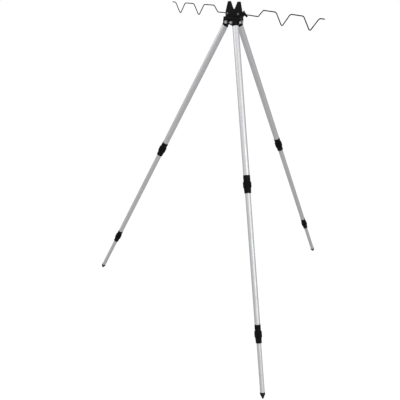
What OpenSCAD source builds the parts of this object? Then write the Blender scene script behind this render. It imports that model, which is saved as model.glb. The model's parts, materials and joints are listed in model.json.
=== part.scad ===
// Folding tripod for fishing rods: three telescopic legs on a moulded hub,
// a V fork on top of it, and two wire arms with two V rests each.
// Origin on the floor under the hub, +Z up, +X along the arms, one leg towards +Y.

/* [Stance] */
// Angle of each leg from the vertical, in degrees
splay = 27.43; // [24:0.01:29]
// Height of the leg hinges above the floor
pivot_z = 1017.2; // [980:0.1:1040]
// Distance of each leg hinge from the centre line
pivot_r = 22; // [21:0.5:23]

/* [Tubes] */
// Outer radius of the top leg tube
tube1_r = 10; // [9.9:0.1:10.1]
// Outer radius of the middle leg tube
tube2_r = 8.5; // [8.4:0.1:8.6]
// Outer radius of the bottom leg tube
tube3_r = 7; // [6.9:0.1:7.1]
// Wall of each tube
tube_wall = 1; // [0.9:0.1:1]
// Distance from the hinge to the middle of the first twist lock
lock1_at = 504.4; // [480:0.1:520]
// Distance from the hinge to the middle of the second twist lock
lock2_at = 954.4; // [930:0.1:960]

/* [Twist locks] */
// Length of one twist lock
lock_len = 55; // [50:1:56]
// Length of the smooth sleeve at its top
sleeve_len = 20; // [16:0.5:20]
// Length of the ribbed band
band_len = 18; // [16:0.5:19]
// How far the ribs stand out beyond the tube
band_rise = 3; // [2.4:0.1:3]
// Number of grooves round the band
rib_count = 24; // [16:1:26]

/* [Hub and fork] */
// Width of each hinge bracket
bracket_w = 22; // [22:0.5:23]
// Width of the slot in each hinge bracket
slot_w = 12; // [11.5:0.5:12.5]
// Height of the hub's top face above the hinges
plate_top = 15.8; // [15:0.1:17]
// Width of the fork
fork_w = 68; // [66:1:70]
// Thickness of the fork
fork_t = 9; // [9:0.1:9.4]
// Distance of the fork's front face in front of the centre line
fork_front = 5; // [5:0.1:5.2]
// Height of the fork
fork_h = 45; // [43:1:47]
// Depth of the fork's notch
notch_h = 22; // [20:1:23]

/* [Wire arms] */
// Radius of the wire
wire_r = 1.6; // [1.5:0.1:1.7]
// Distance of each arm bolt from the centre line
arm_x = 24.5; // [24:0.5:25]
// Distance of the wire behind the centre line
arm_y = 14; // [13.5:0.5:14.5]
// Height of the arm bolts above the leg hinges
arm_up = 24; // [23.8:0.1:25]
// Upward tilt of the left arm, in degrees
left_tilt = 0.4; // [-3:0.1:3]
// Upward tilt of the right arm, in degrees
right_tilt = -2.8; // [-3:0.1:3]
// Distance between the two V rests of one arm
rest_pitch = 103; // [98:1:108]
// Height of the raised runs above the straight one
rest_up = 19.8; // [18:0.1:21]
// Depth of the V corners below the straight run
rest_down = 16.9; // [14:0.1:17]

/* [Hidden] */
$fn = 64;
BLACK = "#1d1d1f";
ALLOY = "#c8cacd";
ZINC = "#d9dade";
WIRE = "#2a2a2c";
ARMS = ["left", "right"];
REAR = 90;
LEFT = 210;
RIGHT = 330;
LEGS = [REAR, LEFT, RIGHT];

gap = 0.3;            // between pieces that move past each other
fit = 0.05;           // round a shaft that turns or slides in a bore
bolt_r = 2.5;
washer_r = 5;
washer_t = 1;

// Hinge of one leg: round tongue in the hub's bracket, then a cap and a plug
tongue_r = 8.2;
tongue_w = slot_w - 2 * gap;
cheek_r = 9.6;
cap_top = 10;
tube1_top = 12.6;
cap_r = tube1_r + 0.2;
plug_len = 24;
heel = 8.5;

// Screw heads and nuts of the hinge bolts
hinge_head_r = 4.25;
hinge_head_h = 4.5;
hinge_nut_r = 4.62;
hinge_nut_h = 5;
hinge_key_r = 2.3;

// Hub and fork: heights, the bolt that joins them, and two pegs that stop the fork turning
plate_bottom = pivot_z + heel + gap;
hub_top = pivot_z + plate_top;
core_r = 12.5;
core_bottom = pivot_z - 8.7;
centre_bolt_r = 2.5;
centre_head_r = 4.62;
centre_head_h = 3.5;
centre_head_z = core_bottom + 2;
centre_recess_r = 5;
centre_nut_side = 8;
centre_nut_h = 3;
centre_nut_z = hub_top + 10;
peg_x = 9;
peg_r = 2;
peg_h = 4;
arm_z = pivot_z + arm_up;

// Arms: a round puck on the bolt, which holds the wire's eye
puck_r = 7.7;
puck_front = fork_t - fork_front + gap;
puck_back = arm_y + 3;
arm_head_r = 4.4;
arm_head_h = 2.8;
arm_key_r = 1.7;
eye_r = 5.1;
step_x = 92;
step_run = 19;
rest_x = 162;
rest_half = 27.5;
tip_x = 337;
lap = 0.05;
swell = 0.02;

// Wing nuts: boss, and ears with round ends
wing_front = puck_back + gap + washer_t + gap;
wing_boss_r = 4.8;
wing_boss_h = 5.5;
wing_ear_t = 3;
wing_ear_x = 9;
wing_ear_y = wing_front + 7;
wing_ear_r = 3;
arm_bolt_end = wing_front + wing_boss_h + 3;

// Leg tubes and locks, as distances along the leg from its hinge
lock1_top = lock1_at - lock_len / 2;
lock2_top = lock2_at - lock_len / 2;
neck_h = 17;
neck_wall = 0.25;
tube_seat = 1;
overlap = 57;
tube1_end = lock1_top + sleeve_len + tube_seat;
tube2_top = tube1_end - overlap;
tube2_end = lock2_top + sleeve_len + tube_seat;
tube3_top = 650;
bush_h = 6;
bush_plug = 10;
bush_wall = 1.2;
tip_r = 2.5;
tip_at = (pivot_z - tip_r) / cos(splay) + tip_r;
foot_len = 19;
foot_r = tube3_r + 0.75;
foot_sleeve = 6.5;
tube3_end = tip_at - foot_len + foot_sleeve - 0.5;

// Puts a shape, drawn with the hinge at the origin and +X outwards, at one leg's hinge
module at_hinge(side) {
    rotate([0, 0, side]) translate([pivot_r, 0, pivot_z]) children();
}

// The same for a shape drawn on a leg that hangs straight down
module on_leg(side) {
    at_hinge(side) rotate([0, -splay, 0]) children();
}

// Ring that hangs below the hinge from one distance to another
module ring(from, to, outer, inner) {
    translate([0, 0, -to]) difference() {
        cylinder(r = outer, h = to - from);
        translate([0, 0, -1]) cylinder(r = inner, h = to - from + 2);
    }
}

// Cone that hangs below the hinge, wider at its top
module taper(from, to, top_r, bottom_r) {
    translate([0, 0, -to]) cylinder(r1 = bottom_r, r2 = top_r, h = to - from);
}

// Cylinder along Y between two depths
module along_y(from, to, r) {
    translate([0, from, 0]) rotate([-90, 0, 0]) cylinder(r = r, h = to - from);
}

// Puts a shape, drawn round the arm bolt with +X outwards, on one side of the fork
module on_arm(side) {
    mirror([side == "left" ? 1 : 0, 0, 0]) translate([arm_x, 0, arm_z]) children();
}

function tilt(side) = side == "left" ? left_tilt : right_tilt;

// --- Hub ---

// Six-sided plan of the hub's top plate, with its corners rounded off
module plate_plan() {
    reach = pivot_r + cheek_r;
    intersection() {
        polygon([for (a = LEGS) for (s = [-1, 1])
            [reach * cos(a) - s * bracket_w / 2 * sin(a), reach * sin(a) + s * bracket_w / 2 * cos(a)]]);
        circle(r = reach + 1.2);
    }
}

// One hinge bracket: two cheeks with a slot for the tongue
module bracket() {
    difference() {
        union() {
            along_y(-bracket_w / 2, bracket_w / 2, cheek_r);
            translate([-cheek_r, -bracket_w / 2, 0]) cube([2 * cheek_r, bracket_w, heel + gap]);
        }
        translate([-2 * cheek_r, -slot_w / 2, -2 * cheek_r])
            cube([4 * cheek_r, slot_w, 2 * cheek_r + heel + gap]);
        along_y(-bracket_w, bracket_w, bolt_r + fit);
    }
}

// Moulded hub: top plate, round core and three brackets in one piece, with two pegs on top
module hub() {
    color(BLACK) difference() {
        union() {
            translate([0, 0, plate_bottom]) linear_extrude(hub_top - plate_bottom) plate_plan();
            translate([0, 0, core_bottom]) cylinder(r = core_r, h = plate_bottom - core_bottom);
            for (a = LEGS) at_hinge(a) bracket();
            for (x = [-peg_x, peg_x]) translate([x, 0, hub_top]) cylinder(r = peg_r, h = peg_h);
        }
        for (a = LEGS) at_hinge(a) along_y(-tongue_w / 2 - gap, tongue_w / 2 + gap, tongue_r + gap);
        translate([0, 0, core_bottom - 1]) cylinder(r = centre_bolt_r + fit, h = hub_top - core_bottom + 2);
        translate([0, 0, core_bottom - 1])
            cylinder(r = centre_recess_r, h = centre_head_z + centre_head_h + 1 - core_bottom);
    }
}

// Hexagon-headed bolt that pulls the fork down on the hub
module centre_bolt() {
    shank_z = centre_head_z + centre_head_h;
    shank_end = centre_nut_z + centre_nut_h + 1;
    color(ZINC) {
        translate([0, 0, centre_head_z]) cylinder(r = centre_head_r, h = centre_head_h, $fn = 6);
        translate([0, 0, shank_z]) cylinder(r = centre_bolt_r, h = shank_end - shank_z);
    }
}

// Square nut in a pocket in the back of the fork
module centre_nut() {
    half = centre_nut_side / 2;
    color(ZINC) difference() {
        translate([-half, -half, centre_nut_z]) cube([centre_nut_side, centre_nut_side, centre_nut_h]);
        translate([0, 0, centre_nut_z - 1]) cylinder(r = centre_bolt_r, h = centre_nut_h + 2);
    }
}

// --- Fork ---

// Closed outline from the points of its right-hand side, given from the middle outwards and round
function both_sides(points) = concat(points,
    [for (i = [len(points) - 1 : -1 : 0]) [-points[i][0], points[i][1]]]);

// Outline of the fork seen from the front: straight flanks, a waist, and a V notch between two round lobes
module fork_outline() {
    half = fork_w / 2;
    straight_h = 15;
    waist_h = 25;
    waist_in = 3.2;
    lobe_r = 4.2;
    lobe_x = half - 12.5;
    lobe_z = fork_h - lobe_r;
    floor_half = 8.5;
    floor_z = fork_h - notch_h;
    corner = 3;
    function on_lobe(angle) = [lobe_x + lobe_r * cos(angle), lobe_z + lobe_r * sin(angle)];
    difference() {
        union() {
            polygon(both_sides([[0, 0], [half, 0], [half, straight_h], [half - waist_in, waist_h],
                on_lobe(12)]));
            for (s = [-1, 1]) translate([s * lobe_x, lobe_z]) circle(r = lobe_r);
        }
        polygon(both_sides([[0, floor_z], [floor_half - corner, floor_z], [floor_half, floor_z + corner],
            on_lobe(165), on_lobe(135), [on_lobe(135)[0], fork_h + 1]]));
    }
}

// Upright fork, drilled for the arm bolts and the centre bolt, with the nut's pocket open at its back
module rod_fork() {
    half = centre_nut_side / 2;
    color(BLACK) difference() {
        translate([0, fork_t - fork_front, hub_top]) rotate([90, 0, 0])
            linear_extrude(fork_t) fork_outline();
        for (side = ARMS) on_arm(side) along_y(-fork_t, fork_t, bolt_r + fit);
        for (x = [-peg_x, peg_x]) translate([x, 0, hub_top - 1]) cylinder(r = peg_r, h = peg_h + 1.5);
        translate([0, 0, hub_top - 1]) cylinder(r = centre_bolt_r + fit, h = centre_nut_z + 8 - hub_top);
        translate([-half, -half, centre_nut_z]) cube([centre_nut_side, fork_t + 1, centre_nut_h]);
    }
}

// --- Hinge hardware ---

// Three socket-headed bolts, each with its head on one side of a bracket and its end in a nut on the other
module hinge_bolts() {
    head_y = bracket_w / 2 + washer_t;
    color(ZINC) for (a = LEGS) at_hinge(a) difference() {
        union() {
            along_y(-head_y - hinge_nut_h - 2, head_y + 1, bolt_r);
            along_y(head_y, head_y + hinge_head_h, hinge_head_r);
        }
        translate([0, head_y + 2.5, 0]) rotate([-90, 0, 0])
            cylinder(r = hinge_key_r, h = hinge_head_h, $fn = 6);
    }
}

module hinge_washers() {
    half = bracket_w / 2;
    color(ZINC) for (a = LEGS) for (y = [-half - washer_t, half]) at_hinge(a) difference() {
        along_y(y, y + washer_t, washer_r);
        along_y(y - 1, y + washer_t + 1, bolt_r);
    }
}

module hinge_nuts() {
    nut_y = -bracket_w / 2 - washer_t - hinge_nut_h;
    color(ZINC) for (a = LEGS) at_hinge(a) difference() {
        translate([0, nut_y, 0]) rotate([-90, 0, 0]) cylinder(r = hinge_nut_r, h = hinge_nut_h, $fn = 6);
        along_y(nut_y - 1, 0, bolt_r);
    }
}

// --- Arms ---

// Turn at one corner of a path, and the length that its bend takes from each side
function heading(path, i) = atan2(path[i + 1][1] - path[i][1], path[i + 1][0] - path[i][0]);
function turn(path, i) = heading(path, i) - heading(path, i - 1);
function setback(path, i) = (i == 0 || i == len(path) - 1) ? 0 : path[i][2] * tan(abs(turn(path, i)) / 2);

// Round rod along a path of [x, z, bend radius] points, each corner a true bend.
// A bend is a hair thicker than the straight runs, whose ends sit just inside it.
module bent_rod(path, r) {
    for (i = [0 : len(path) - 2]) {
        length = norm([path[i + 1][0] - path[i][0], path[i + 1][1] - path[i][1]]);
        start = setback(path, i) - (i == 0 ? 0 : lap);
        end = setback(path, i + 1) - (i == len(path) - 2 ? 0 : lap);
        translate([path[i][0], 0, path[i][1]]) rotate([0, 90 - heading(path, i), 0])
            translate([0, 0, start]) cylinder(r = r, h = length - start - end);
    }
    for (i = [1 : len(path) - 2]) {
        bend = path[i][2];
        s = sign(turn(path, i));
        translate([path[i][0], 0, path[i][1]]) rotate([0, -heading(path, i - 1), 0])
            translate([-setback(path, i), 0, s * bend]) rotate([90, 0, 0])
                rotate([0, 0, s > 0 ? -90 : 90 - abs(turn(path, i))])
                    rotate_extrude(angle = abs(turn(path, i))) translate([bend, 0]) circle(r = r + swell);
    }
}

// Centre line of one arm's wire from its eye to its tip, counted from the bolt
function arm_path() = [
    [eye_r, 0, 0],
    [step_x - arm_x, 0, 7],
    [step_x + step_run - arm_x, rest_up, 7],
    [rest_x - arm_x, rest_up, 12],
    [rest_x + rest_half - arm_x, -rest_down, 5],
    [rest_x + 2 * rest_half - arm_x, rest_up, 12],
    [rest_x + rest_pitch - arm_x, rest_up, 12],
    [rest_x + rest_pitch + rest_half - arm_x, -rest_down, 5],
    [rest_x + rest_pitch + 2 * rest_half - arm_x, rest_up, 12],
    [tip_x - arm_x, rest_up, 0]];

module wire_eye() {
    rotate([90, 0, 0]) rotate_extrude() translate([eye_r, 0]) circle(r = wire_r);
}

module arm_wire(side) {
    color(WIRE) on_arm(side) rotate([0, -tilt(side), 0]) translate([0, arm_y, 0]) {
        bent_rod(arm_path(), wire_r);
        wire_eye();
    }
}

// Puck moulded round the wire's eye
module arm_puck(side) {
    color(BLACK) on_arm(side) rotate([0, -tilt(side), 0]) difference() {
        along_y(puck_front, puck_back, puck_r);
        along_y(0, puck_back + 1, bolt_r + fit);
        translate([0, arm_y, 0]) {
            wire_eye();
            rotate([0, 90, 0]) translate([0, 0, eye_r]) cylinder(r = wire_r, h = puck_r);
        }
    }
}

// Two bolts through the fork and the pucks, with button heads on the front
module arm_bolts() {
    head_y = -fork_front - arm_head_h;
    key_depth = 1.6;
    color(BLACK) for (side = ARMS) on_arm(side) difference() {
        union() {
            along_y(head_y + 1, arm_bolt_end, bolt_r);
            along_y(head_y, -fork_front, arm_head_r);
        }
        translate([0, head_y - 1, 0]) rotate([-90, 0, 0])
            cylinder(r = arm_key_r, h = key_depth + 1, $fn = 6);
    }
}

module arm_washers() {
    color(ZINC) for (side = ARMS) on_arm(side) difference() {
        along_y(puck_back + gap, puck_back + gap + washer_t, washer_r);
        along_y(puck_back, puck_back + 3, bolt_r);
    }
}

// Wing nut: round boss with two ears that rise outwards, turned to one angle
module wing_nut(side, angle) {
    root_x = 3;
    color(BLACK) on_arm(side) rotate([0, angle, 0]) difference() {
        union() {
            along_y(wing_front, wing_front + wing_boss_h, wing_boss_r);
            for (s = [0, 180]) rotate([0, s, 0])
                translate([0, 0, -wing_ear_t / 2]) linear_extrude(wing_ear_t) {
                    polygon([[root_x, wing_front + 0.5], [wing_ear_x, wing_front + 4],
                        [wing_ear_x + wing_ear_r, wing_ear_y], [wing_ear_x, wing_ear_y + wing_ear_r],
                        [root_x + 4, wing_front + wing_boss_h], [root_x, wing_front + wing_boss_h]]);
                    translate([wing_ear_x, wing_ear_y]) circle(r = wing_ear_r);
                }
        }
        along_y(puck_back, arm_bolt_end, bolt_r + fit);
    }
}

// --- Legs ---

// Hinge end of one leg: tongue, heel that stops the spread, cap and plug
module knuckle() {
    color(BLACK) difference() {
        union() {
            along_y(-tongue_w / 2, tongue_w / 2, tongue_r);
            translate([-tongue_r, -tongue_w / 2, -cap_top - 1]) cube([2 * tongue_r, tongue_w, cap_top + 1]);
            rotate([0, splay, 0]) translate([0, -tongue_w / 2, 0]) cube([heel, tongue_w, heel]);
            ring(cap_top, tube1_top, cap_r, 0);
            ring(tube1_top - 1, tube1_top + plug_len, tube1_r - tube_wall, 6.5);
            translate([0, 0, -tube1_top - 2]) cylinder(r = 7, h = 2);
        }
        along_y(-slot_w, slot_w, bolt_r + fit);
    }
}

module tube_top() {
    color(ALLOY) ring(tube1_top, tube1_end, tube1_r, tube1_r - tube_wall);
}

module tube_middle() {
    color(ALLOY) ring(tube2_top, tube2_end, tube2_r, tube2_r - tube_wall);
}

module tube_bottom() {
    color(ALLOY) ring(tube3_top, tube3_end, tube3_r, tube3_r - tube_wall);
}

// Fixed half of a twist lock: sleeve glued on the outer tube, and threaded neck
module ferrule(top, tube_r, next_r) {
    sleeve_wall = 0.85;
    shoulder = top + sleeve_len + tube_seat;
    neck_from = top + sleeve_len - 0.5;
    neck_to = top + sleeve_len + neck_h;
    difference() {
        union() {
            ring(top, top + sleeve_len, tube_r + sleeve_wall, 0);
            ring(neck_from, neck_to, tube_r + neck_wall, 0);
        }
        ring(top - 1, neck_to + 1, next_r + 0.1, 0);
        ring(top - 1, shoulder, tube_r, 0);
    }
}

// Split ring that the nut squeezes on the inner tube
module collet(top, tube_r, next_r) {
    from = top + sleeve_len + neck_h + 0.2;
    to = top + lock_len - 4;
    split = 2;
    difference() {
        taper(from, to, tube_r - 0.35, tube_r - 0.8);
        ring(from - 1, to + 1, next_r + fit, 0);
        translate([0, -split / 2, -to - 1]) cube([2 * tube_r, split, to - from + 2]);
    }
}

// Turning half of a twist lock: ribbed band and tapered skirt
module twist_nut(top, tube_r, next_r) {
    band_top = top + sleeve_len + gap;
    band_end = top + sleeve_len + band_len;
    bottom = top + lock_len;
    band_r = tube_r + band_rise;
    waist_r = tube_r + 0.5;
    lip = 4;
    difference() {
        union() {
            ring(band_top, band_end, band_r, 0);
            taper(band_end, bottom - lip, tube_r + 1.5, waist_r);
            taper(bottom - lip, bottom, waist_r, tube_r + 0.9);
        }
        ring(band_top - 1, band_end - 0.5, tube_r + neck_wall + gap, 0);
        taper(band_end - 1, bottom - lip + 0.5, tube_r + 0.05, tube_r - 0.5);
        ring(band_top, bottom + 1, next_r + gap, 0);
        for (i = [1 : rib_count]) rotate([0, 0, 360 / rib_count * i]) translate([band_r + 0.3, 0, 0])
            ring(band_top - 1, band_end + 1, 0.95, 0, $fn = 24);
    }
}

// Bush in the top end of an inner tube, which guides it in the outer one
module guide_bush(tube_top_at, outer_r, plug_r) {
    ring(tube_top_at - bush_h, tube_top_at, outer_r, plug_r - bush_wall);
    ring(tube_top_at - 1, tube_top_at + bush_plug, plug_r, plug_r - bush_wall);
}

module ferrule_upper() {
    color(BLACK) ferrule(lock1_top, tube1_r, tube2_r);
}

module ferrule_lower() {
    color(BLACK) ferrule(lock2_top, tube2_r, tube3_r);
}

module collet_upper() {
    color(BLACK) collet(lock1_top, tube1_r, tube2_r);
}

module collet_lower() {
    color(BLACK) collet(lock2_top, tube2_r, tube3_r);
}

module twist_nut_upper() {
    color(BLACK) twist_nut(lock1_top, tube1_r, tube2_r);
}

module twist_nut_lower() {
    color(BLACK) twist_nut(lock2_top, tube2_r, tube3_r);
}

module bush_middle() {
    color(BLACK) guide_bush(tube2_top, tube1_r - tube_wall - fit, tube2_r - tube_wall);
}

module bush_bottom() {
    color(BLACK) guide_bush(tube3_top, tube2_r - tube_wall - fit, tube3_r - tube_wall);
}

// Pointed foot pushed on the bottom tube
module foot() {
    from = tip_at - foot_len;
    step_at = from + foot_sleeve;
    step_h = 1.5;
    neck_r = foot_r - 1.2;
    flank = 65;
    cone_end = tip_at - tip_r + tip_r * cos(flank);
    color(BLACK) difference() {
        union() {
            ring(from, step_at, foot_r, 0);
            taper(step_at, step_at + step_h, foot_r, neck_r);
            taper(step_at + step_h, cone_end, neck_r, tip_r * sin(flank));
            translate([0, 0, tip_r - tip_at]) sphere(r = tip_r);
        }
        ring(from - 1, tube3_end, tube3_r, 0);
    }
}

hub();
centre_bolt();
centre_nut();
rod_fork();
hinge_bolts();
hinge_washers();
hinge_nuts();
arm_bolts();
arm_washers();
arm_puck("left");  // left_arm_puck
arm_wire("left");  // left_arm_wire
wing_nut("left", 20);  // left_wing_nut
arm_puck("right");  // right_arm_puck
arm_wire("right");  // right_arm_wire
wing_nut("right", 45);  // right_wing_nut
on_leg(REAR) knuckle();  // rear_knuckle
on_leg(REAR) tube_top();  // rear_tube_top
on_leg(REAR) ferrule_upper();  // rear_ferrule_upper
on_leg(REAR) collet_upper();  // rear_collet_upper
on_leg(REAR) twist_nut_upper();  // rear_twist_nut_upper
on_leg(REAR) tube_middle();  // rear_tube_middle
on_leg(REAR) bush_middle();  // rear_bush_middle
on_leg(REAR) ferrule_lower();  // rear_ferrule_lower
on_leg(REAR) collet_lower();  // rear_collet_lower
on_leg(REAR) twist_nut_lower();  // rear_twist_nut_lower
on_leg(REAR) tube_bottom();  // rear_tube_bottom
on_leg(REAR) bush_bottom();  // rear_bush_bottom
on_leg(REAR) foot();  // rear_foot
on_leg(LEFT) knuckle();  // left_knuckle
on_leg(LEFT) tube_top();  // left_tube_top
on_leg(LEFT) ferrule_upper();  // left_ferrule_upper
on_leg(LEFT) collet_upper();  // left_collet_upper
on_leg(LEFT) twist_nut_upper();  // left_twist_nut_upper
on_leg(LEFT) tube_middle();  // left_tube_middle
on_leg(LEFT) bush_middle();  // left_bush_middle
on_leg(LEFT) ferrule_lower();  // left_ferrule_lower
on_leg(LEFT) collet_lower();  // left_collet_lower
on_leg(LEFT) twist_nut_lower();  // left_twist_nut_lower
on_leg(LEFT) tube_bottom();  // left_tube_bottom
on_leg(LEFT) bush_bottom();  // left_bush_bottom
on_leg(LEFT) foot();  // left_foot
on_leg(RIGHT) knuckle();  // right_knuckle
on_leg(RIGHT) tube_top();  // right_tube_top
on_leg(RIGHT) ferrule_upper();  // right_ferrule_upper
on_leg(RIGHT) collet_upper();  // right_collet_upper
on_leg(RIGHT) twist_nut_upper();  // right_twist_nut_upper
on_leg(RIGHT) tube_middle();  // right_tube_middle
on_leg(RIGHT) bush_middle();  // right_bush_middle
on_leg(RIGHT) ferrule_lower();  // right_ferrule_lower
on_leg(RIGHT) collet_lower();  // right_collet_lower
on_leg(RIGHT) twist_nut_lower();  // right_twist_nut_lower
on_leg(RIGHT) tube_bottom();  // right_tube_bottom
on_leg(RIGHT) bush_bottom();  // right_bush_bottom
on_leg(RIGHT) foot();  // right_foot
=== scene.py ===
# Folding tripod that holds fishing rods: telescopic aluminium legs with twist locks, a moulded
# head with a V fork, and two bent wire arms. All sizes are in metres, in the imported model's frame.

import json
import math

import bmesh
import bpy
from mathutils import Matrix, Vector


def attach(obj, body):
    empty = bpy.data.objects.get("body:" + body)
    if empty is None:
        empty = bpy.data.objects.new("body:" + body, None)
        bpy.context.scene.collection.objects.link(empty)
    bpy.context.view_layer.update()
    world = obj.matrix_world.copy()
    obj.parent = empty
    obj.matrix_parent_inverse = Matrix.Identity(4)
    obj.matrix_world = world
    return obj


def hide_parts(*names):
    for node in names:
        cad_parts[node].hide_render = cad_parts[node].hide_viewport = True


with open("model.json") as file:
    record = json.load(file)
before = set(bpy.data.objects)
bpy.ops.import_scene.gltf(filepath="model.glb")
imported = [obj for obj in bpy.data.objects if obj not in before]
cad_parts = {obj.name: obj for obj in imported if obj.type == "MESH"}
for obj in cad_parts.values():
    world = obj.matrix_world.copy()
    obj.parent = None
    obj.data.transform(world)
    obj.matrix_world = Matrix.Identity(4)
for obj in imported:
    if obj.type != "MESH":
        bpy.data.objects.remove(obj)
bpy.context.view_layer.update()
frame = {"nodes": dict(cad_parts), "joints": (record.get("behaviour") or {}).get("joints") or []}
nodes = frame["nodes"]
joints = {joint["name"]: joint for joint in frame["joints"]}


# Camera. It stands in front of the tripod and to the right, at head height, and looks a little
# down, with a normal lens and no blur.
camera_place = Vector((1.2213, -1.1473, 1.1436))
camera_turn = math.radians(50.205)
camera_drop = math.radians(23.835)
camera_roll = math.radians(0.614)
sensor = 36.0
lens = 45.29

camera_data = bpy.data.cameras.new("camera")
camera_data.sensor_width = sensor
camera_data.lens = lens
camera = bpy.data.objects.new("camera", camera_data)
bpy.context.scene.collection.objects.link(camera)
camera.location = camera_place
camera.rotation_mode = "QUATERNION"
camera.rotation_quaternion = (
    Matrix.Rotation(camera_turn, 4, "Z")
    @ Matrix.Rotation(math.pi / 2 - camera_drop, 4, "X")
    @ Matrix.Rotation(camera_roll, 4, "Z")
).to_quaternion()
bpy.context.scene.camera = camera


# Floor and light. A plain white sweep, a pale surround that is brighter overhead, and two very
# large soft lamps. The camera sees the floor and the surround whiter than the reflections do.
floor_half = 14.0
floor_grey = 0.50
floor_roughness = 0.9
floor_glow = 1.12
floor_lift = 0.85
surround_light = 0.95
surround_dark = 0.45
surround_top = (0.10, -0.15, 0.98)

corners = [(-floor_half, -floor_half, 0), (floor_half, -floor_half, 0)]
corners += [(floor_half, floor_half, 0), (-floor_half, floor_half, 0)]
floor_mesh = bpy.data.meshes.new("floor")
floor_mesh.from_pydata(corners, [], [(0, 1, 2, 3)])
floor = bpy.data.objects.new("floor", floor_mesh)
bpy.context.scene.collection.objects.link(floor)
floor_paint = bpy.data.materials.new("floor")
floor_paint.use_nodes = True
paper = floor_paint.node_tree
paper_shader = paper.nodes["Principled BSDF"]
paper_shader.inputs["Base Color"].default_value = (floor_grey, floor_grey, floor_grey, 1.0)
paper_shader.inputs["Roughness"].default_value = floor_roughness
glow = paper.nodes.new("ShaderNodeEmission")
glow.inputs["Strength"].default_value = floor_glow
path = paper.nodes.new("ShaderNodeLightPath")
lift = paper.nodes.new("ShaderNodeMath")
lift.operation = "MULTIPLY"
lift.inputs[1].default_value = floor_lift
blend = paper.nodes.new("ShaderNodeMixShader")
paper.links.new(path.outputs["Is Camera Ray"], lift.inputs[0])
paper.links.new(lift.outputs["Value"], blend.inputs["Fac"])
paper.links.new(paper_shader.outputs["BSDF"], blend.inputs[1])
paper.links.new(glow.outputs["Emission"], blend.inputs[2])
paper.links.new(blend.outputs["Shader"], paper.nodes["Material Output"].inputs["Surface"])
floor_mesh.materials.append(floor_paint)

world = bpy.data.worlds.new("surround")
bpy.context.scene.world = world
world.use_nodes = True
sky = world.node_tree
direction = sky.nodes.new("ShaderNodeTexCoord")
aim = sky.nodes.new("ShaderNodeVectorMath")
aim.operation = "DOT_PRODUCT"
aim.inputs[1].default_value = surround_top
sky.links.new(direction.outputs["Generated"], aim.inputs[0])
spread = sky.nodes.new("ShaderNodeMapRange")
spread.inputs["From Min"].default_value = -0.2
spread.inputs["From Max"].default_value = 0.8
spread.inputs["To Min"].default_value = surround_dark
spread.inputs["To Max"].default_value = surround_light
sky.links.new(aim.outputs["Value"], spread.inputs["Value"])
seen = sky.nodes.new("ShaderNodeLightPath")
white = sky.nodes.new("ShaderNodeMath")
white.operation = "MAXIMUM"
sky.links.new(spread.outputs["Result"], white.inputs[0])
sky.links.new(seen.outputs["Is Camera Ray"], white.inputs[1])
sky.links.new(white.outputs["Value"], sky.nodes["Background"].inputs["Strength"])
sky.nodes["Background"].inputs["Color"].default_value = (1, 1, 1, 1)


def soft_lamp(name, place, target, size, power):
    data = bpy.data.lights.new(name, "AREA")
    data.shape = "DISK"
    data.size = size
    data.energy = power
    lamp = bpy.data.objects.new(name, data)
    bpy.context.scene.collection.objects.link(lamp)
    lamp.location = place
    lamp.rotation_mode = "QUATERNION"
    lamp.rotation_quaternion = (Vector(target) - Vector(place)).to_track_quat("-Z", "Y")


soft_lamp("key_lamp", (-2.4, -2.2, 3.4), (0, 0, 0.6), 3.6, 42)
soft_lamp("fill_lamp", (3.6, -0.4, 2.2), (0, 0, 0.5), 3.0, 34)
bpy.context.scene.view_settings.view_transform = "Standard"


# Leg tubes. Three sizes of drawn aluminium tube to a leg, clear anodised after drawing, with
# deburred ends. They slide in each other, which leaves long faint rub marks.
WALL_BREAK = 0.00025
SHARP = math.radians(38)
SAME_POINT = 1e-7
CORNER_SHARE = 0.45
LEGS = ("rear", "left", "right")
tube_bodies = {"top": "_leg_upper", "middle": "_leg_middle", "bottom": "_leg_bottom"}

# The colour sockets of a Mix node
FIRST_COLOUR = 6
SECOND_COLOUR = 7
MIXED_COLOUR = 2


def new_group(name, inputs, outputs):
    """Empty shader group with number inputs and their defaults, and its named outputs."""
    group = bpy.data.node_groups.new(name, "ShaderNodeTree")
    for label, value in inputs.items():
        socket = group.interface.new_socket(name=label, in_out="INPUT", socket_type="NodeSocketFloat")
        socket.default_value = value
    for label in outputs:
        group.interface.new_socket(name=label, in_out="OUTPUT", socket_type="NodeSocketFloat")
    return group, group.nodes.new("NodeGroupInput"), group.nodes.new("NodeGroupOutput")


def add(tree, kind, **settings):
    """New node. Settings whose name is a property set it, and the rest set the socket of that name."""
    node = tree.nodes.new("ShaderNode" + kind)
    for label, value in settings.items():
        if hasattr(node, label):
            setattr(node, label, value)
        else:
            node.inputs[label.replace("_", " ").title()].default_value = value
    return node


# Smudges: slow cloudy change over a surface, from handling
smudge_group, smudge_in, smudge_out = new_group("smudges", {"Scale": 30.0}, ["Mask"])
smudge_place = add(smudge_group, "TexCoord")
smudge_noise = add(smudge_group, "TexNoise", detail=5.0, roughness=0.6)
smudge_ramp = add(smudge_group, "MapRange", from_min=0.35, from_max=0.68)
smudge_group.links.new(smudge_place.outputs["Object"], smudge_noise.inputs["Vector"])
smudge_group.links.new(smudge_in.outputs["Scale"], smudge_noise.inputs["Scale"])
smudge_group.links.new(smudge_noise.outputs["Fac"], smudge_ramp.inputs["Value"])
smudge_group.links.new(smudge_ramp.outputs["Result"], smudge_out.inputs["Mask"])


def use_group(tree, group, **values):
    node = tree.nodes.new("ShaderNodeGroup")
    node.node_tree = group
    for label, value in values.items():
        node.inputs[label.title()].default_value = value
    return node


def start_material(name, metallic, roughness):
    """Material with its shader, its roughness and metal set on the shader's own sockets."""
    material = bpy.data.materials.new(name)
    material.use_nodes = True
    tree = material.node_tree
    shader = tree.nodes["Principled BSDF"]
    shader.inputs["Metallic"].default_value = metallic
    shader.inputs["Roughness"].default_value = roughness
    return material, tree, shader


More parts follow.
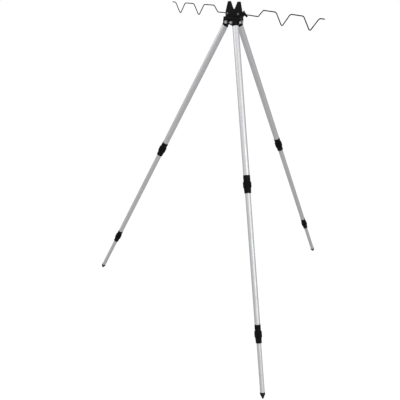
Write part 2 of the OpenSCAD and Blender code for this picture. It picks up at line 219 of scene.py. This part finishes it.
def mix_colours(tree, mask, low, high):
    """Colour that goes from low to high with the mask. Low may be a colour or another node's socket."""
    mix = add(tree, "Mix", data_type="RGBA")
    tree.links.new(mask, mix.inputs["Factor"])
    if isinstance(low, bpy.types.NodeSocket):
        tree.links.new(low, mix.inputs[FIRST_COLOUR])
    else:
        mix.inputs[FIRST_COLOUR].default_value = low
    mix.inputs[SECOND_COLOUR].default_value = high
    return mix.outputs[MIXED_COLOUR]


def drawn_aluminium():
    material, tree, shader = start_material("drawn_aluminium", 1.0, 0.5)
    place = add(tree, "TexCoord")
    stretch = add(tree, "Mapping", scale=(460.0, 460.0, 4.0))
    lines = add(tree, "TexNoise", scale=1.0, detail=3.0, roughness=0.55)
    tree.links.new(place.outputs["Object"], stretch.inputs["Vector"])
    tree.links.new(stretch.outputs["Vector"], lines.inputs["Vector"])
    clouds = use_group(tree, smudge_group, scale=16.0)
    streaked = mix_colours(tree, lines.outputs["Fac"], (0.58, 0.585, 0.60, 1), (0.82, 0.825, 0.835, 1))
    dulled = mix_colours(tree, clouds.outputs["Mask"], streaked, (0.66, 0.665, 0.68, 1))
    tree.links.new(dulled, shader.inputs["Base Color"])
    gloss = add(tree, "MapRange", to_min=0.44, to_max=0.54)
    tree.links.new(clouds.outputs["Mask"], gloss.inputs["Value"])
    tree.links.new(gloss.outputs["Result"], shader.inputs["Roughness"])
    bump = add(tree, "Bump", strength=0.08, distance=0.00004)
    tree.links.new(lines.outputs["Fac"], bump.inputs["Height"])
    tree.links.new(bump.outputs["Normal"], shader.inputs["Normal"])
    return material


def leg_place(side):
    """Frame of one leg: origin at its hinge, +Z down the leg, +X to its outer side."""
    down = Vector(joints[side + "_lock_upper_turn"]["axis"]).normalized()
    across = -Vector(joints[side + "_leg_fold"]["axis"]).normalized()
    outer = across.cross(down)
    turn = Matrix((outer, across, down)).transposed().to_4x4()
    return Matrix.Translation(joints[side + "_leg_fold"]["pos_m"]) @ turn


def reach(node, place, within=1.0):
    """Where a round CAD node starts and ends along an axis, and its outer and inner radius. A node
    that holds several solids gives the one within a distance of the axis."""
    inverse = place.inverted()
    points = [inverse @ vertex.co for vertex in nodes[node].data.vertices]
    points = [point for point in points if math.hypot(point.x, point.y) < within]
    along = [point.z for point in points]
    radii = [math.hypot(point.x, point.y) for point in points]
    return min(along), max(along), max(radii), min(radii)


def rounded(corners, size, closed=True, steps=3):
    """The corners of a section, each turned into a small arc. An open section keeps its two ends."""
    last = len(corners) - 1
    points = []
    for i, corner in enumerate(corners):
        here = Vector(corner)
        if not closed and i in (0, last):
            points.append(tuple(here))
            continue
        before = Vector(corners[i - 1])
        after = Vector(corners[(i + 1) % len(corners)])
        start = here + (before - here) * min(size / (before - here).length, CORNER_SHARE)
        end = here + (after - here) * min(size / (after - here).length, CORNER_SHARE)
        for k in range(steps + 1):
            t = k / steps
            points.append(tuple(start * (1 - t) ** 2 + here * 2 * t * (1 - t) + end * t**2))
    return points


def piece_of(name, build):
    """Turns a finished bmesh into a piece with even shading."""
    mesh = bpy.data.meshes.new(name)
    build.to_mesh(mesh)
    build.free()
    piece = bpy.data.objects.new(name, mesh)
    bpy.context.scene.collection.objects.link(piece)
    settle = piece.modifiers.new("even_shading", "WEIGHTED_NORMAL")
    settle.keep_sharp = True
    return piece


def revolved(name, section, place, steps=64, closed=True, shape=None):
    """Solid of revolution from (distance, radius) points. Shape may change a radius by its angle."""
    build = bmesh.new()
    rings = []
    for distance, radius in section:
        ring = []
        for k in range(steps):
            angle = 2 * math.pi * k / steps
            r = shape(angle, distance, radius) if shape else radius
            ring.append(build.verts.new((r * math.cos(angle), r * math.sin(angle), distance)))
        rings.append(ring)
    pairs = list(zip(rings, rings[1:]))
    if closed:
        pairs.append((rings[-1], rings[0]))
    for first, second in pairs:
        for k in range(steps):
            following = (k + 1) % steps
            build.faces.new((first[k], first[following], second[following], second[k]))
    bmesh.ops.remove_doubles(build, verts=build.verts, dist=SAME_POINT)
    bmesh.ops.recalc_face_normals(build, faces=build.faces)
    for face in build.faces:
        face.smooth = True
    for edge in build.edges:
        if len(edge.link_faces) == 2 and edge.calc_face_angle() > SHARP:
            edge.smooth = False
    piece = piece_of(name, build)
    piece.matrix_world = place
    return piece


def fit_in(piece, material, body, stood_for):
    """Gives a piece its material, and lets it ride on its body in place of a CAD node."""
    piece.data.materials.append(material)
    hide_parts(stood_for)
    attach(piece, body)


tube_metal = drawn_aluminium()
for side in LEGS:
    for part, body in tube_bodies.items():
        node = f"{side}_tube_{part}"
        start, end, outer, inner = reach(node, leg_place(side))
        section = rounded([(start, inner), (start, outer), (end, outer), (end, inner)], WALL_BREAK)
        tube = revolved(f"{side}_{part}_tube", section, leg_place(side), steps=72)
        fit_in(tube, tube_metal, side + body, node)


# Moulded black plastic. Nylon with a fine spark-eroded grain, faint flow marks, and corners that
# handling has rubbed a little lighter.
PLASTIC_GLOSS = 0.08
FLOW_MARK = 1.3

# Grain: fine pits over small cells, as a height
grain_group, grain_in, grain_out = new_group("moulded_grain", {"Scale": 2200.0}, ["Height"])
grain_place = add(grain_group, "TexCoord")
grain_noise = add(grain_group, "TexNoise", detail=2.0, roughness=0.5)
grain_cells = add(grain_group, "TexVoronoi", feature="SMOOTH_F1")
grain_sum = add(grain_group, "Math", operation="ADD")
grain_group.links.new(grain_place.outputs["Object"], grain_noise.inputs["Vector"])
grain_group.links.new(grain_place.outputs["Object"], grain_cells.inputs["Vector"])
grain_group.links.new(grain_in.outputs["Scale"], grain_noise.inputs["Scale"])
grain_group.links.new(grain_in.outputs["Scale"], grain_cells.inputs["Scale"])
grain_group.links.new(grain_noise.outputs["Fac"], grain_sum.inputs[0])
grain_group.links.new(grain_cells.outputs["Distance"], grain_sum.inputs[1])
grain_group.links.new(grain_sum.outputs["Value"], grain_out.inputs["Height"])

# Wear: broken patches along convex edges, where the surface's pointiness is above Start. On the plastics
# this is rubbed wear; on the black steel screws it is partly wear and partly a painted highlight on the
# rims of the heads.
wear_values = {"Start": 0.53, "End": 0.60, "Scale": 260.0}
wear_and_highlight_group, wear_in, wear_out = new_group("edge_wear_and_highlight", wear_values, ["Mask"])
wear_edges = add(wear_and_highlight_group, "NewGeometry")
wear_ramp = add(wear_and_highlight_group, "MapRange")
wear_place = add(wear_and_highlight_group, "TexCoord")
wear_noise = add(wear_and_highlight_group, "TexNoise", detail=4.0, roughness=0.7)
wear_break = add(wear_and_highlight_group, "MapRange", from_min=0.40, from_max=0.62)
wear_product = add(wear_and_highlight_group, "Math", operation="MULTIPLY")
wear_and_highlight_group.links.new(wear_edges.outputs["Pointiness"], wear_ramp.inputs["Value"])
wear_and_highlight_group.links.new(wear_in.outputs["Start"], wear_ramp.inputs["From Min"])
wear_and_highlight_group.links.new(wear_in.outputs["End"], wear_ramp.inputs["From Max"])
wear_and_highlight_group.links.new(wear_place.outputs["Object"], wear_noise.inputs["Vector"])
wear_and_highlight_group.links.new(wear_in.outputs["Scale"], wear_noise.inputs["Scale"])
wear_and_highlight_group.links.new(wear_noise.outputs["Fac"], wear_break.inputs["Value"])
wear_and_highlight_group.links.new(wear_ramp.outputs["Result"], wear_product.inputs[0])
wear_and_highlight_group.links.new(wear_break.outputs["Result"], wear_product.inputs[1])
wear_and_highlight_group.links.new(wear_product.outputs["Value"], wear_out.inputs["Mask"])


def moulded_plastic(name, colour, rubbed, grain, depth, matt, shiny):
    """Black plastic: its colour, the colour of rubbed corners, grain cells to the metre, grain depth."""
    material, tree, shader = start_material(name, 0.0, matt)
    shader.inputs["Specular IOR Level"].default_value = PLASTIC_GLOSS
    clouds = use_group(tree, smudge_group, scale=55.0)
    edge_mask = use_group(tree, wear_and_highlight_group)
    lighter = tuple(FLOW_MARK * value for value in colour[:3]) + (1.0,)
    base = mix_colours(tree, clouds.outputs["Mask"], colour, lighter)
    tree.links.new(mix_colours(tree, edge_mask.outputs["Mask"], base, rubbed), shader.inputs["Base Color"])
    gloss = add(tree, "MapRange", to_min=matt, to_max=shiny)
    tree.links.new(clouds.outputs["Mask"], gloss.inputs["Value"])
    tree.links.new(gloss.outputs["Result"], shader.inputs["Roughness"])
    cells = use_group(tree, grain_group, scale=grain)
    bump = add(tree, "Bump", strength=0.35, distance=depth)
    tree.links.new(cells.outputs["Height"], bump.inputs["Height"])
    tree.links.new(bump.outputs["Normal"], shader.inputs["Normal"])
    return material


BLACK = (0.0038, 0.0038, 0.0041, 1)
head_plastic = moulded_plastic(
    "head_plastic",
    colour=BLACK,
    rubbed=(0.009, 0.009, 0.0095, 1),
    grain=2400.0,
    depth=0.0001,
    matt=0.52,
    shiny=0.44,
)
lock_plastic = moulded_plastic(
    "lock_plastic",
    colour=BLACK,
    rubbed=(0.022, 0.022, 0.023, 1),
    grain=3000.0,
    depth=0.00008,
    matt=0.48,
    shiny=0.40,
)
inner_plastic = moulded_plastic(
    "inner_plastic",
    colour=(0.022, 0.022, 0.024, 1),
    rubbed=(0.05, 0.05, 0.052, 1),
    grain=3600.0,
    depth=0.00005,
    matt=0.42,
    shiny=0.34,
)


# Twist locks. Each has a sleeve glued on the outer tube, with a threaded neck below it, and a
# turning nut with a ribbed band and a tapered skirt that squeezes a split collet.
TUBE_SEAT = 0.001
NECK_WALL = 0.00025
NECK_CHAMFER = 0.0004
SLEEVE_ROUND = 0.0006
THREAD_PITCH = 0.002
THREAD_DEPTH = 0.0005
THREAD_STOP = 0.0005
ON_RADIUS = 1e-6
RIBS = 24
RIB_DEPTH = 0.00065
RIB_WIDTH = 0.42
BAND_LENGTH = 0.0177
BAND_CHAMFER = 0.0004
BAND_LEAD = 0.0012
TURNING_GAP = 0.0003
NUT_ROUND = 0.0005
# How far the skirt stands out from the tube: next to the band, before its lip, and at the lip
SKIRT_TOP = 0.0015
SKIRT_WAIST = 0.0005
SKIRT_LIP = 0.0009
SKIRT_END = 0.0006
LIP_LENGTH = 0.004
END_WALL = 0.0035
# The cone inside the nut that squeezes the collet
CONE_STEP = 0.0005
CONE_CLEAR = 0.00005

# The tube that carries each lock, the tube that it grips, and the body that it is fixed to
locks = {
    "upper": ("top", "middle", "_leg_upper"),
    "lower": ("middle", "bottom", "_leg_middle"),
}


def thread(neck_radius, start, end, pitch, depth):
    """Shape function that cuts a screw thread between two distances on one radius."""

    def cut(angle, distance, radius):
        if abs(radius - neck_radius) > ON_RADIUS or not start < distance < end:
            return radius
        phase = (distance / pitch + angle / (2 * math.pi)) % 1
        fade = min(1, (distance - start) / pitch, (end - distance) / pitch)
        return radius - depth * fade * (1 - abs(2 * phase - 1))

    return cut


def steps_between(start, end, radius, gap):
    """Points along one radius, about a gap apart, for a stretch that carries a thread."""
    count = max(2, round(abs(end - start) / gap))
    return [(start + (end - start) * i / count, radius) for i in range(1, count)]


def ferrule(side, level, outer_tube, body):
    node = f"{side}_ferrule_{level}"
    place = leg_place(side)
    start, end, outer, bore = reach(node, place)
    tube = reach(f"{side}_tube_{outer_tube}", place)[2]
    neck = tube + NECK_WALL
    shoulder = reach(f"{side}_twist_nut_{level}", place)[0] - TURNING_GAP
    sleeve = [(start, tube), (start, outer), (shoulder, outer), (shoulder, neck)]
    front = rounded(sleeve, SLEEVE_ROUND, closed=False)
    neck_end = end - NECK_CHAMFER
    back = [(neck_end, neck), (end, neck - NECK_CHAMFER), (end, bore), (shoulder + TUBE_SEAT, bore)]
    back.append((shoulder + TUBE_SEAT, tube))
    neck_run = steps_between(shoulder, neck_end, neck, THREAD_PITCH / 8)
    cut = thread(neck, shoulder + THREAD_PITCH, end - THREAD_STOP, THREAD_PITCH, THREAD_DEPTH)
    piece = revolved(f"{side}_{level}_ferrule", front + neck_run + back, place, steps=64, shape=cut)
    fit_in(piece, lock_plastic, side + body, node)


def twist_nut(side, level, outer_tube):
    node = f"{side}_twist_nut_{level}"
    place = leg_place(side)
    start, end, band, bore = reach(node, place)
    tube = reach(f"{side}_tube_{outer_tube}", place)[2]
    band_end = start + BAND_LENGTH
    inside = tube + NECK_WALL + TURNING_GAP

    def ribs(angle, distance, radius):
        if radius < band - 2 * RIB_DEPTH or distance > band_end + ON_RADIUS:
            return radius
        away = abs((angle * RIBS / (2 * math.pi)) % 1 - 0.5) * 2
        if away <= 1 - RIB_WIDTH:
            return radius
        return radius - RIB_DEPTH * (1 - ((1 - away) / RIB_WIDTH) ** 2) ** 0.5

    outside = [
        (start, inside),
        (start, band - BAND_CHAMFER),
        (start + BAND_LEAD, band),
        (band_end - BAND_LEAD, band),
        (band_end, band - BAND_CHAMFER),
        (band_end, tube + SKIRT_TOP),
        (end - LIP_LENGTH, tube + SKIRT_WAIST),
        (end - SKIRT_END, tube + SKIRT_LIP),
        (end, tube + SKIRT_END),
    ]
    hollow = [
        (end, bore),
        (end - END_WALL, bore),
        (end - END_WALL, tube - CONE_STEP),
        (band_end - CONE_STEP, tube + CONE_CLEAR),
        (band_end - CONE_STEP, inside),
    ]
    section = rounded(outside + hollow, NUT_ROUND)
    piece = revolved(f"{side}_{level}_twist_nut", section, place, steps=8 * RIBS, shape=ribs)
    fit_in(piece, lock_plastic, f"{side}_lock_{level}", node)


def dress(node, material):
    """Gives a CAD node its finish."""
    nodes[node].data.materials.clear()
    nodes[node].data.materials.append(material)


for side in LEGS:
    for level, (outer_tube, inner_tube, body) in locks.items():
        ferrule(side, level, outer_tube, body)
        twist_nut(side, level, outer_tube)
        dress(f"{side}_collet_{level}", inner_plastic)
        dress(f"{side}_bush_{inner_tube}", inner_plastic)


# Feet. Tough black plastic points pushed on the bottom tubes, with two grip rings on the sleeve
# and soil scuffs towards the tip.
FOOT_SLEEVE = 0.0065
FOOT_STEP = 0.0015
FOOT_STEP_DROP = 0.0012
FOOT_ROUND = 0.0003
FOOT_TIP = 0.0025
FOOT_FLANK = math.radians(65)
TIP_STEPS = 8
# Groove between the two grip rings: its start on the sleeve, its bottom's end, depth and flank
GROOVE_START = 0.0018
GROOVE_END = 0.0030
GROOVE_DEPTH = 0.0003
GROOVE_FLANK = 0.0004


def scuffed_plastic(from_end, to_end):
    """Black plastic that soil has scuffed pale between two distances down the leg."""
    material = moulded_plastic(
        "foot_plastic",
        colour=(0.009, 0.009, 0.009, 1),
        rubbed=(0.06, 0.057, 0.054, 1),
        grain=2000.0,
        depth=0.0001,
        matt=0.6,
        shiny=0.45,
    )
    tree = material.node_tree
    shader = tree.nodes["Principled BSDF"]
    place = add(tree, "TexCoord")
    split = add(tree, "SeparateXYZ")
    low = add(tree, "MapRange", from_min=from_end, from_max=to_end)
    noise = add(tree, "TexNoise", scale=700.0, detail=6.0, roughness=0.7)
    patch = add(tree, "MapRange", from_min=0.42, from_max=0.62)
    mask = add(tree, "Math", operation="MULTIPLY")
    tree.links.new(place.outputs["Object"], split.inputs["Vector"])
    tree.links.new(split.outputs["Z"], low.inputs["Value"])
    tree.links.new(place.outputs["Object"], noise.inputs["Vector"])
    tree.links.new(noise.outputs["Fac"], patch.inputs["Value"])
    tree.links.new(low.outputs["Result"], mask.inputs[0])
    tree.links.new(patch.outputs["Result"], mask.inputs[1])
    clean = shader.inputs["Base Color"].links[0].from_socket
    soiled = mix_colours(tree, mask.outputs["Value"], clean, (0.06, 0.052, 0.044, 1))
    tree.links.new(soiled, shader.inputs["Base Color"])
    return material


foot_start, foot_end = reach("rear_foot", leg_place("rear"))[:2]
foot_plastic = scuffed_plastic(foot_start + FOOT_SLEEVE, foot_end)
for side in LEGS:
    place = leg_place(side)
    start, end, outer = reach(f"{side}_foot", place)[:3]
    tube_end, tube = reach(f"{side}_tube_bottom", place)[1:3]
    step = start + FOOT_SLEEVE
    grooved = outer - GROOVE_DEPTH
    outside = [
        (start, tube),
        (start, outer),
        (start + GROOVE_START, outer),
        (start + GROOVE_START + GROOVE_FLANK, grooved),
        (start + GROOVE_END, grooved),
        (start + GROOVE_END + GROOVE_FLANK, outer),
        (step, outer),
        (step + FOOT_STEP, outer - FOOT_STEP_DROP),
    ]
    section = [(tube_end, 0.0), (tube_end, tube)] + rounded(outside, FOOT_ROUND, closed=False)
    for i in range(TIP_STEPS + 1):
        angle = FOOT_FLANK * (TIP_STEPS - i) / TIP_STEPS
        section.append((end - FOOT_TIP + FOOT_TIP * math.cos(angle), FOOT_TIP * math.sin(angle)))
    foot = revolved(f"{side}_point_foot", section, place, steps=64, closed=False)
    fit_in(foot, foot_plastic, side + "_leg_bottom", f"{side}_foot")


# Head mouldings. The hub, the fork and the leg knuckles are the same black nylon, with soft
# moulded corners. The wing nuts are moulded too.
def soften(node, size):
    """Rounds the corners of a CAD node by a small size."""
    corners = nodes[node].modifiers.new("soft_corners", "BEVEL")
    corners.width = size
    corners.segments = 3
    corners.limit_method = "ANGLE"
    corners.angle_limit = math.radians(40)
    corners.harden_normals = True


corner_sizes = {"hub": 0.0006, "rod_fork": 0.0012, "left_wing_nut": 0.0004, "right_wing_nut": 0.0004}
corner_sizes.update({side + "_knuckle": 0.0005 for side in LEGS})
for node, size in corner_sizes.items():
    dress(node, head_plastic)
    soften(node, size)


# Arm pucks. Round black blocks moulded over the eye of each wire, with a bore for the arm bolt and a
# shallow ring in each end face where the tool met.
ARMS = ("left", "right")
PUCK_ROUND = 0.0008
# Ring in the end faces: its inner and outer radius, its depth, and the width of its sloping sides
RING_INNER = 0.0050
RING_OUTER = 0.0061
RING_DEPTH = 0.0004
RING_FLANK = 0.0003


def bolt_place(joint, across):
    """Frame on a hinge joint's line: +Z along its axis and +X across it."""
    along = Vector(joints[joint]["axis"]).normalized()
    side_on = Vector(across).normalized()
    turn = Matrix((side_on, along.cross(side_on), along)).transposed().to_4x4()
    return Matrix.Translation(joints[joint]["pos_m"]) @ turn


for side in ARMS:
    place = bolt_place(side + "_arm_fold", (1, 0, 0))
    start, end, outer, bore = reach(side + "_arm_puck", place)
    ring = [(0.0, RING_INNER), (RING_DEPTH, RING_INNER + RING_FLANK)]
    ring += [(RING_DEPTH, RING_OUTER - RING_FLANK), (0.0, RING_OUTER)]
    section = [(start, bore)] + [(start + deep, radius) for deep, radius in ring] + [(start, outer)]
    section += [(end, outer)] + [(end - deep, radius) for deep, radius in reversed(ring)] + [(end, bore)]
    puck = revolved(side + "_clamp_puck", rounded(section, PUCK_ROUND), place, steps=72)
    fit_in(puck, head_plastic, side + "_arm", side + "_arm_puck")


# Leg hinge hardware. A knurled socket screw through each bracket, a washer under its head and one
# under its hexagon nut, all bright zinc plated.
M5 = 0.0025
M5_PITCH = 0.0008
M5_THREAD_DEPTH = 0.00035
THREAD_RUN_IN = 0.0004
HINGE_THREAD = 0.008
HINGE_HEAD = 0.0045
HEAD_FOOT = 0.0005
# Rounded top edge of the head: how far each point is below its top and inside its outer radius
HEAD_TOP = ((0.0007, 0.0), (0.0005, 0.0), (0.0002, 0.0001), (0.0, 0.0005))
EDGE_BREAK = 0.0003
WASHER = 0.001
WASHER_ROUND = 0.0002
HEX = math.pi / 3
KEY_RADIUS = 0.0023
KEY_DEPTH = 0.0020
SOCKET_POINT = 0.0004
KNURLS = 36
KNURL_DEPTH = 0.00012
KNURL_FROM = 0.0004
KNURL_TO = 0.0006
NUT_CHAMFER = 0.0005
NUT_FACE = 0.83
CHAMFER_STEPS = 6
CHAMFER_CURVE = 1.6
NEAR = 0.010


def zinc_plate():
    material, tree, shader = start_material("zinc_plate", 1.0, 0.34)
    clouds = use_group(tree, smudge_group, scale=420.0)
    tint = mix_colours(tree, clouds.outputs["Mask"], (0.46, 0.475, 0.50, 1), (0.60, 0.60, 0.60, 1))
    tree.links.new(tint, shader.inputs["Base Color"])
    gloss = add(tree, "MapRange", to_min=0.26, to_max=0.42)
    tree.links.new(clouds.outputs["Mask"], gloss.inputs["Value"])
    tree.links.new(gloss.outputs["Result"], shader.inputs["Roughness"])
    return material


def to_hexagon(corner_radius):
    """Shape function that trims a solid of revolution to a hexagon."""
    flat = corner_radius * math.cos(HEX / 2)

    def trim(angle, distance, radius):
        return min(radius, flat / math.cos(angle % HEX - HEX / 2))

    return trim


def joined(name, parts):
    """One piece made of several solids, each left where it stands."""
    build = bmesh.new()
    for part in parts:
        mesh = part.data
        mesh.transform(part.matrix_world)
        build.from_mesh(mesh)
        bpy.data.objects.remove(part)
    return piece_of(name, build)


def threaded_end(start, length):
    """Chamfered end of an M5 screw and its thread, as points from the tip inwards."""
    tip = [(start, 0.0), (start, M5 - M5_THREAD_DEPTH), (start + M5_THREAD_DEPTH, M5)]
    return tip + steps_between(start + M5_THREAD_DEPTH, start + length, M5, M5_PITCH / 8)


def socket(end, key_radius, depth):
    """Hexagon socket sunk in a screw's head, as points from its rim to its bottom."""
    rim = [(end, key_radius + EDGE_BREAK), (end - EDGE_BREAK, key_radius)]
    return rim + [(end - depth, key_radius), (end - depth - SOCKET_POINT, 0.0)]


def screw_shape(thread_start, thread_end, head_start, head_radius, end, key_radius, depth, knurls):
    """Shape function of a socket screw: thread, knurled head and hexagon socket."""
    cut = thread(M5, thread_start, thread_end, M5_PITCH, M5_THREAD_DEPTH)
    trim = to_hexagon(key_radius)

    def shape(angle, distance, radius):
        if distance > end - depth - SOCKET_POINT - ON_RADIUS and radius <= key_radius + ON_RADIUS:
            return trim(angle, distance, radius)
        knurled = head_start + KNURL_FROM < distance < end - KNURL_TO
        if knurls and knurled and radius > head_radius - ON_RADIUS:
            return radius - KNURL_DEPTH * abs(2 * ((angle * knurls / (2 * math.pi)) % 1) - 1)
        return cut(angle, distance, radius)

    return shape


def hinge_screw(side, place):
    start, end, outer = reach("hinge_bolts", place, NEAR)[:3]
    head = end - HINGE_HEAD
    thread_end = start + HINGE_THREAD
    section = threaded_end(start, HINGE_THREAD) + [(thread_end, M5), (head, M5)]
    section += [(head, outer - EDGE_BREAK), (head + EDGE_BREAK, outer), (head + HEAD_FOOT, outer)]
    section += [(end - drop, outer - inset) for drop, inset in HEAD_TOP]
    section += socket(end, KEY_RADIUS, KEY_DEPTH)
    shape = screw_shape(
        start + THREAD_RUN_IN, thread_end, head, outer, end, KEY_RADIUS, KEY_DEPTH, KNURLS
    )
    return revolved(side + "_screw", section, place, steps=6 * KNURLS, closed=False, shape=shape)


def hexagon_nut(name, place, start, end, corner_radius):
    """Hexagon nut with a chamfer on both faces and in its thread."""
    face = corner_radius * NUT_FACE
    curve = []
    for k in range(CHAMFER_STEPS + 1):
        t = k / CHAMFER_STEPS
        curve.append((NUT_CHAMFER * t**CHAMFER_CURVE, face + (corner_radius - face) * t))
    section = [(start + EDGE_BREAK, M5), (start, M5 + EDGE_BREAK)]
    section += [(start + rise, radius) for rise, radius in curve]
    section += [(end - rise, radius) for rise, radius in reversed(curve)]
    section += [(end, M5 + EDGE_BREAK), (end - EDGE_BREAK, M5)]
    return revolved(name, section, place, steps=72, shape=to_hexagon(corner_radius))


def washer(name, place, start, outer):
    section = [(start, M5), (start, outer), (start + WASHER, outer), (start + WASHER, M5)]
    return revolved(name, rounded(section, WASHER_ROUND), place, steps=64)


zinc = zinc_plate()
screws = []
hex_nuts = []
washers = []
for side in LEGS:
    outwards = joints[side + "_leg_fold"]["pos_m"][:2] + [0]
    place = bolt_place(side + "_leg_fold", outwards)
    screws.append(hinge_screw(side, place))
    hex_nuts.append(hexagon_nut(side + "_nut", place, *reach("hinge_nuts", place, NEAR)[:3]))
    start, end, outer = reach("hinge_washers", place, NEAR)[:3]
    washers.append(washer(side + "_nut_washer", place, start, outer))
    washers.append(washer(side + "_head_washer", place, end - WASHER, outer))
fit_in(joined("hinge_screws", screws), zinc, "head", "hinge_bolts")
fit_in(joined("hinge_hexagon_nuts", hex_nuts), zinc, "head", "hinge_nuts")
fit_in(joined("hinge_plain_washers", washers), zinc, "head", "hinge_washers")


# Arm bolts and their washers. Two black button-head screws go through the fork, the pucks and the
# washers into the wing nuts. The centre bolt comes up through the hub into its square nut, which
# sits in a pocket in the fork's back.
ARM_THREAD = 0.012
BUTTON_HEAD = 0.0028
BUTTON_CROWN = 0.0024
DOME_STEPS = 8
BUTTON_KEY_RADIUS = 0.0017
BUTTON_KEY_DEPTH = 0.0013


def black_steel_finish():
    material, tree, shader = start_material("black_steel", 1.0, 0.34)
    clouds = use_group(tree, smudge_group, scale=300.0)
    edge_mask = use_group(tree, wear_and_highlight_group, scale=900.0)
    base = mix_colours(tree, clouds.outputs["Mask"], (0.13, 0.13, 0.135, 1), (0.19, 0.19, 0.195, 1))
    # Lighter rims: partly rubbed wear, partly a painted highlight on the domed heads and socket rims.
    wear_and_painted_highlight = mix_colours(tree, edge_mask.outputs["Mask"], base, (0.45, 0.45, 0.46, 1))
    tree.links.new(wear_and_painted_highlight, shader.inputs["Base Color"])
    return material


def button_screw(side, place):
    """Button-head screw: its tip is behind the wing nut, and its domed head in front of the fork."""
    start, end, outer = reach("arm_bolts", place, NEAR)[:3]
    head = end - BUTTON_HEAD
    rim = head + EDGE_BREAK
    thread_end = start + ARM_THREAD
    section = threaded_end(start, ARM_THREAD) + [(thread_end, M5), (head, M5), (head, outer)]
    for k in range(1, DOME_STEPS + 1):
        lift = math.pi / 2 * k / DOME_STEPS
        radius = BUTTON_CROWN + (outer - BUTTON_CROWN) * math.cos(lift)
        section.append((rim + (end - rim) * math.sin(lift), radius))
    section += socket(end, BUTTON_KEY_RADIUS, BUTTON_KEY_DEPTH)
    shape = screw_shape(
        start + THREAD_RUN_IN, thread_end, head, outer, end, BUTTON_KEY_RADIUS, BUTTON_KEY_DEPTH, 0
    )
    return revolved(side + "_button", section, place, steps=72, closed=False, shape=shape)


black_steel = black_steel_finish()
buttons = []
arm_rings = []
for side in ARMS:
    place = bolt_place(side + "_arm_fold", (1, 0, 0))
    if joints[side + "_arm_fold"]["axis"][1] > 0:
        place = place @ Matrix.Rotation(math.pi, 4, "X")
    buttons.append(button_screw(side, place))
    ring = reach("arm_washers", place, NEAR)
    arm_rings.append(washer(side + "_ring", place, ring[0], ring[2]))
fit_in(joined("arm_button_screws", buttons), black_steel, "head", "arm_bolts")
fit_in(joined("arm_plain_washers", arm_rings), zinc, "head", "arm_washers")
for node in ("centre_bolt", "centre_nut"):
    dress(node, zinc)


# Wire arms. Bent 3.2 mm steel wire with a thin black coating.
def coated_wire():
    material, tree, shader = start_material("coated_wire", 0.0, 0.4)
    shader.inputs["Specular IOR Level"].default_value = PLASTIC_GLOSS
    clouds = use_group(tree, smudge_group, scale=120.0)
    base = mix_colours(tree, clouds.outputs["Mask"], (0.004, 0.004, 0.0044, 1), (0.008, 0.008, 0.0085, 1))
    tree.links.new(base, shader.inputs["Base Color"])
    gloss = add(tree, "MapRange", to_min=0.36, to_max=0.5)
    tree.links.new(clouds.outputs["Mask"], gloss.inputs["Value"])
    tree.links.new(gloss.outputs["Result"], shader.inputs["Roughness"])
    cells = use_group(tree, grain_group, scale=1500.0)
    bump = add(tree, "Bump", strength=0.25, distance=0.00006)
    tree.links.new(cells.outputs["Height"], bump.inputs["Height"])
    tree.links.new(bump.outputs["Normal"], shader.inputs["Normal"])
    return material


wire_coating = coated_wire()
for side in ARMS:
    dress(side + "_arm_wire", wire_coating)
